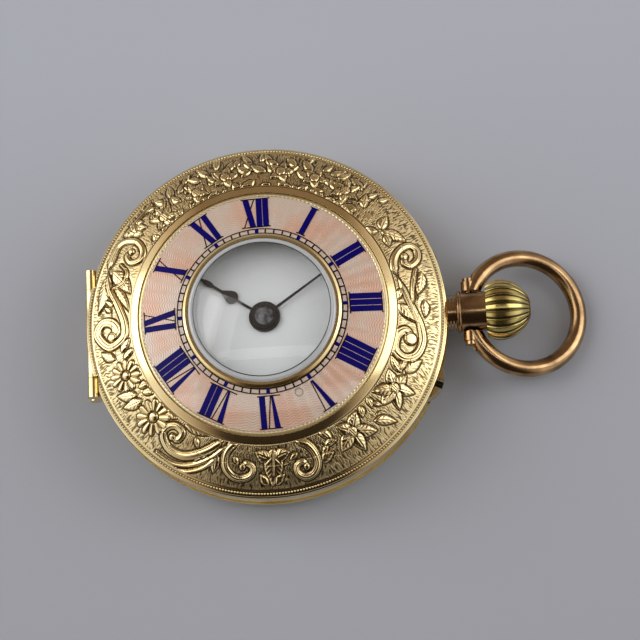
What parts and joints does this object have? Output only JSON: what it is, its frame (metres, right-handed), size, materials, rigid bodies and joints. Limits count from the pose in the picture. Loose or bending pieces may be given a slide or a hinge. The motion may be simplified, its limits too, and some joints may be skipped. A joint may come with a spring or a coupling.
{
  "type": "half hunter pocket watch",
  "caption": "Lady's half hunter fob watch in a hinged engraved gold case, with an enamel chapter ring round a small window, pin-set hands, crown winding and a round bow.",
  "frame": {"origin": "centre of the flat in the middle of the back cover, on which the watch lies", "axes": "+X towards the pendant and crown, +Y towards XII, +Z out of the dial"},
  "size_m": [0.0472, 0.034, 0.0106],
  "materials": {
    "yellow_gold": "polished and engraved",
    "cuvette_gilt": "polished",
    "rose_gold": "worn polish",
    "crown_gold": "fluted, worn",
    "pink_enamel": "translucent enamel over an engine-turned ground",
    "white_enamel": "glossy",
    "crystal": "clear",
    "dark_steel": "dark polish",
    "blued_steel": "blued",
    "polished_steel": "polished",
    "gilt_brass": "frosted gilding",
    "ruby": "polished"
  },
  "bodies": {
    "case": {"case_middle": "yellow_gold", "pendant": "rose_gold", "setting_pin_guard": "yellow_gold", "case_screws": "blued_steel", "front_hinge_pin": "yellow_gold", "back_hinge_pin": "yellow_gold", "cuvette_hinge_pin": "yellow_gold", "bow_screw_upper": "rose_gold", "bow_screw_lower": "rose_gold", "inner_bezel": "yellow_gold", "dial_glass": "crystal", "main_plate": "gilt_brass", "barrel_bridge": "gilt_brass", "train_bridge": "gilt_brass", "pallet_bridge": "gilt_brass", "balance_cock": "gilt_brass", "bridge_screws": "blued_steel", "cock_jewel": "ruby", "dial": "white_enamel", "crown_wheel_screw": "polished_steel", "click_screw": "blued_steel", "hairspring": "blued_steel"},
    "front_cover": {"front_cover": "yellow_gold", "enamel_chapter_ring": "pink_enamel", "cover_glass_ring": "yellow_gold", "cover_crystal": "crystal"},
    "back_cover": {"back_cover": "yellow_gold"},
    "cuvette": {"cuvette": "cuvette_gilt"},
    "bow": {"bow": "rose_gold"},
    "crown": {"winding_crown": "crown_gold", "winding_stem": "polished_steel", "winding_pinion": "polished_steel"},
    "clutch": {"clutch": "polished_steel"},
    "crown_wheel": {"crown_wheel": "polished_steel"},
    "barrel_arbor": {"barrel_arbor": "polished_steel", "ratchet_wheel": "polished_steel", "ratchet_screw": "polished_steel"},
    "click": {"click": "polished_steel"},
    "barrel": {"barrel_drum": "gilt_brass", "barrel_lid": "gilt_brass", "mainspring": "polished_steel"},
    "centre": {"centre_wheel": "gilt_brass", "cannon_pinion": "polished_steel", "minute_hand": "blued_steel"},
    "third": {"third_wheel": "gilt_brass"},
    "fourth": {"fourth_wheel": "gilt_brass"},
    "escape": {"escape_wheel": "polished_steel"},
    "lever": {"pallet_fork": "polished_steel"},
    "balance": {"balance_wheel": "gilt_brass"},
    "regulator": {"regulator": "polished_steel"},
    "hour": {"hour_wheel": "gilt_brass", "hour_hand": "blued_steel"},
    "minute_wheel": {"minute_wheel": "gilt_brass"},
    "setting_wheel": {"setting_wheel": "gilt_brass"},
    "setting_pin": {"setting_pin": "dark_steel"},
    "yoke": {"yoke": "polished_steel"}
  },
  "joints": [
    {"name": "front_cover_hinge", "type": "hinge", "parent": "case", "child": "front_cover", "pos_m": [-0.0166, 0, 0.005], "axis": [0, -1, 0], "range_deg": [0, 95]},
    {"name": "back_cover_hinge", "type": "hinge", "parent": "case", "child": "back_cover", "pos_m": [-0.0166, 0, 0.0036], "axis": [0, 1, 0], "range_deg": [0, 95]},
    {"name": "cuvette_hinge", "type": "hinge", "parent": "case", "child": "cuvette", "pos_m": [-0.01445, 0, 0.00268], "axis": [0, 1, 0], "range_deg": [0, 76.5]},
    {"name": "bow_swing", "type": "hinge", "parent": "case", "child": "bow", "pos_m": [0.01905, 0, 0.0043], "axis": [0, 1, 0], "range_deg": [-128.84, 91.16]},
    {"name": "crown_turn", "type": "hinge", "parent": "case", "child": "crown", "pos_m": [0.0225, 0, 0.0043], "axis": [1, 0, 0], "continuous": true},
    {"name": "crown_wheel_turn", "type": "hinge", "parent": "case", "child": "crown_wheel", "pos_m": [0.0072, 0, 0.00215], "axis": [0, 0, 1], "continuous": true},
    {"name": "barrel_arbor_turn", "type": "hinge", "parent": "case", "child": "barrel_arbor", "pos_m": [0.00163, 0.00609, 0.00215], "axis": [0, 0, 1], "continuous": true},
    {"name": "click_lift", "type": "hinge", "parent": "case", "child": "click", "pos_m": [0.00845, 0.00791, 0.00215], "axis": [0, 0, 1], "range_deg": [0, 15]},
    {"name": "centre_turn", "type": "hinge", "parent": "case", "child": "centre", "pos_m": [0, 0, 0.00328], "axis": [0, 0, -1], "continuous": true},
    {"name": "barrel_turn", "type": "hinge", "parent": "case", "child": "barrel", "pos_m": [0.00163, 0.00609, 0.00355], "axis": [0, 0, -1], "continuous": true},
    {"name": "third_turn", "type": "hinge", "parent": "case", "child": "third", "pos_m": [-0.00487, -0.0013, 0.00375], "axis": [0, 0, -1], "continuous": true},
    {"name": "fourth_turn", "type": "hinge", "parent": "case", "child": "fourth", "pos_m": [-0.00283, -0.00484, 0.0041], "axis": [0, 0, -1], "continuous": true},
    {"name": "escape_turn", "type": "hinge", "parent": "case", "child": "escape", "pos_m": [0.00033, -0.00705, 0.00385], "axis": [0, 0, -1], "continuous": true},
    {"name": "minute_wheel_turn", "type": "hinge", "parent": "case", "child": "minute_wheel", "pos_m": [0.00275, -0.00193, 0.00545], "axis": [0, 0, -1], "continuous": true},
    {"name": "hour_turn", "type": "hinge", "parent": "case", "child": "hour", "pos_m": [0, 0, 0.00578], "axis": [0, 0, -1], "continuous": true},
    {"name": "setting_wheel_turn", "type": "hinge", "parent": "case", "child": "setting_wheel", "pos_m": [0.00619, 0.00048, 0.00545], "axis": [0, 0, -1], "continuous": true},
    {"name": "lever_rock", "type": "hinge", "parent": "case", "child": "lever", "pos_m": [0.00273, -0.00705, 0.00385], "axis": [0, 0, 1], "range_deg": [-6, 6]},
    {"name": "balance_swing", "type": "hinge", "parent": "case", "child": "balance", "pos_m": [0.00583, -0.00592, 0.00285], "axis": [0, 0, 1], "range_deg": [-270, 270], "stiffness_Nm_per_rad": 0.00000006},
    {"name": "regulator_turn", "type": "hinge", "parent": "case", "child": "regulator", "pos_m": [0.00583, -0.00592, 0.00195], "axis": [0, 0, 1], "range_deg": [-18, 18]},
    {"name": "setting_pin_press", "type": "slide", "parent": "case", "child": "setting_pin", "axis": [-0.9178, 0.3971, 0], "range_m": [0, 0.00036], "stiffness_N_per_m": 200},
    {"name": "yoke_rock", "type": "hinge", "parent": "case", "child": "yoke", "pos_m": [0.0068, -0.007, 0.00545], "axis": [0, 0, 1], "range_deg": [0, 5.59]},
    {"name": "clutch_slide", "type": "slide", "parent": "crown", "child": "clutch", "axis": [-1, 0, 0], "range_m": [0, 0.00058691]}
  ],
  "couplings": [
    {"joint": "cuvette_hinge", "follows": "back_cover_hinge", "ratio": 0.8},
    {"joint": "crown_wheel_turn", "follows": "crown_turn", "ratio": 0.76923},
    {"joint": "barrel_arbor_turn", "follows": "crown_turn", "ratio": -0.43269},
    {"joint": "barrel_turn", "follows": "centre_turn", "ratio": -0.125},
    {"joint": "third_turn", "follows": "centre_turn", "ratio": -8},
    {"joint": "fourth_turn", "follows": "centre_turn", "ratio": 60},
    {"joint": "escape_turn", "follows": "centre_turn", "ratio": -600},
    {"joint": "minute_wheel_turn", "follows": "centre_turn", "ratio": -0.33333},
    {"joint": "hour_turn", "follows": "centre_turn", "ratio": 0.083333},
    {"joint": "setting_wheel_turn", "follows": "centre_turn", "ratio": 0.5},
    {"joint": "yoke_rock", "follows": "setting_pin_press", "rad_per_m": 268.55},
    {"joint": "clutch_slide", "follows": "setting_pin_press", "ratio": 1.6247}
  ]
}
